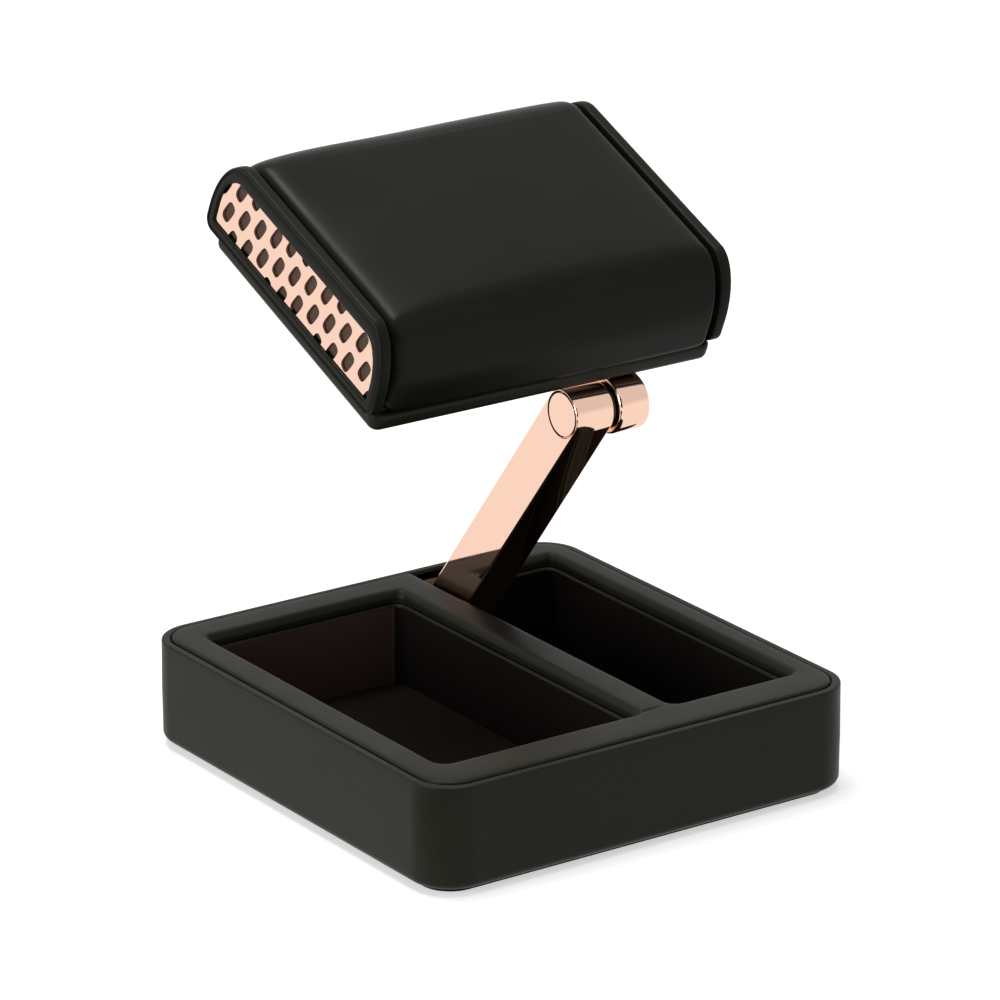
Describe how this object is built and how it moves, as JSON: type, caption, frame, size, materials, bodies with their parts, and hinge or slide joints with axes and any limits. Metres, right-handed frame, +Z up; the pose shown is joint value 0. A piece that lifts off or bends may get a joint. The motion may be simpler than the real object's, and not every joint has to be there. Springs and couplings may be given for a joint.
{
  "type": "watch stand",
  "caption": "Desk watch stand: leather tray with two open compartments and a tilting cushion on a folding metal arm.",
  "frame": {"origin": "centre of the tray's underside, on the surface that it stands on", "axes": "+Z up, +X along the cushion to its right end seen from the front, -Y towards the front"},
  "size_m": [0.13, 0.135, 0.1562],
  "materials": {
    "black_leather": "smooth satin leather",
    "padded_leather": "smooth satin leather over foam",
    "suede": "dark suede",
    "board": "raw fibreboard",
    "rose_gold": "polished, rose-gold plated",
    "dark_steel": "blackened",
    "black_card": "matt"
  },
  "bodies": {
    "tray": {"base_pad": "black_card", "floor_board": "board", "wall_core": "board", "wall_wrap": "black_leather", "frame_board": "board", "frame_pad": "black_leather", "divider_core": "board", "divider_strip": "black_leather", "left_liner": "suede", "right_liner": "suede", "left_floor_pad": "suede", "right_floor_pad": "suede", "foot_clevis": "dark_steel", "clevis_rivet_1": "dark_steel", "clevis_rivet_2": "dark_steel", "foot_pin": "dark_steel"},
    "arm": {"arm_bar": "rose_gold", "pivot_pin": "rose_gold", "pivot_washer": "rose_gold", "pivot_screw": "rose_gold"},
    "head": {"hinge_bar": "rose_gold", "hinge_screw_1": "dark_steel", "hinge_screw_2": "dark_steel", "board_core": "board", "board_wrap": "black_leather", "cushion": "padded_leather", "left_cap_frame": "black_leather", "right_cap_frame": "black_leather", "left_inlay": "rose_gold", "right_inlay": "rose_gold", "left_backing": "black_card", "right_backing": "black_card"}
  },
  "joints": [
    {"name": "arm_fold", "type": "hinge", "parent": "tray", "child": "arm", "pos_m": [0.0243, 0.0581, 0.0158], "axis": [1, 0, 0], "range_deg": [-38, 30]},
    {"name": "head_tilt", "type": "hinge", "parent": "arm", "child": "head", "pos_m": [0.0365, -0.0021, 0.09211], "axis": [1, 0, 0], "range_deg": [-23, 67]}
  ]
}
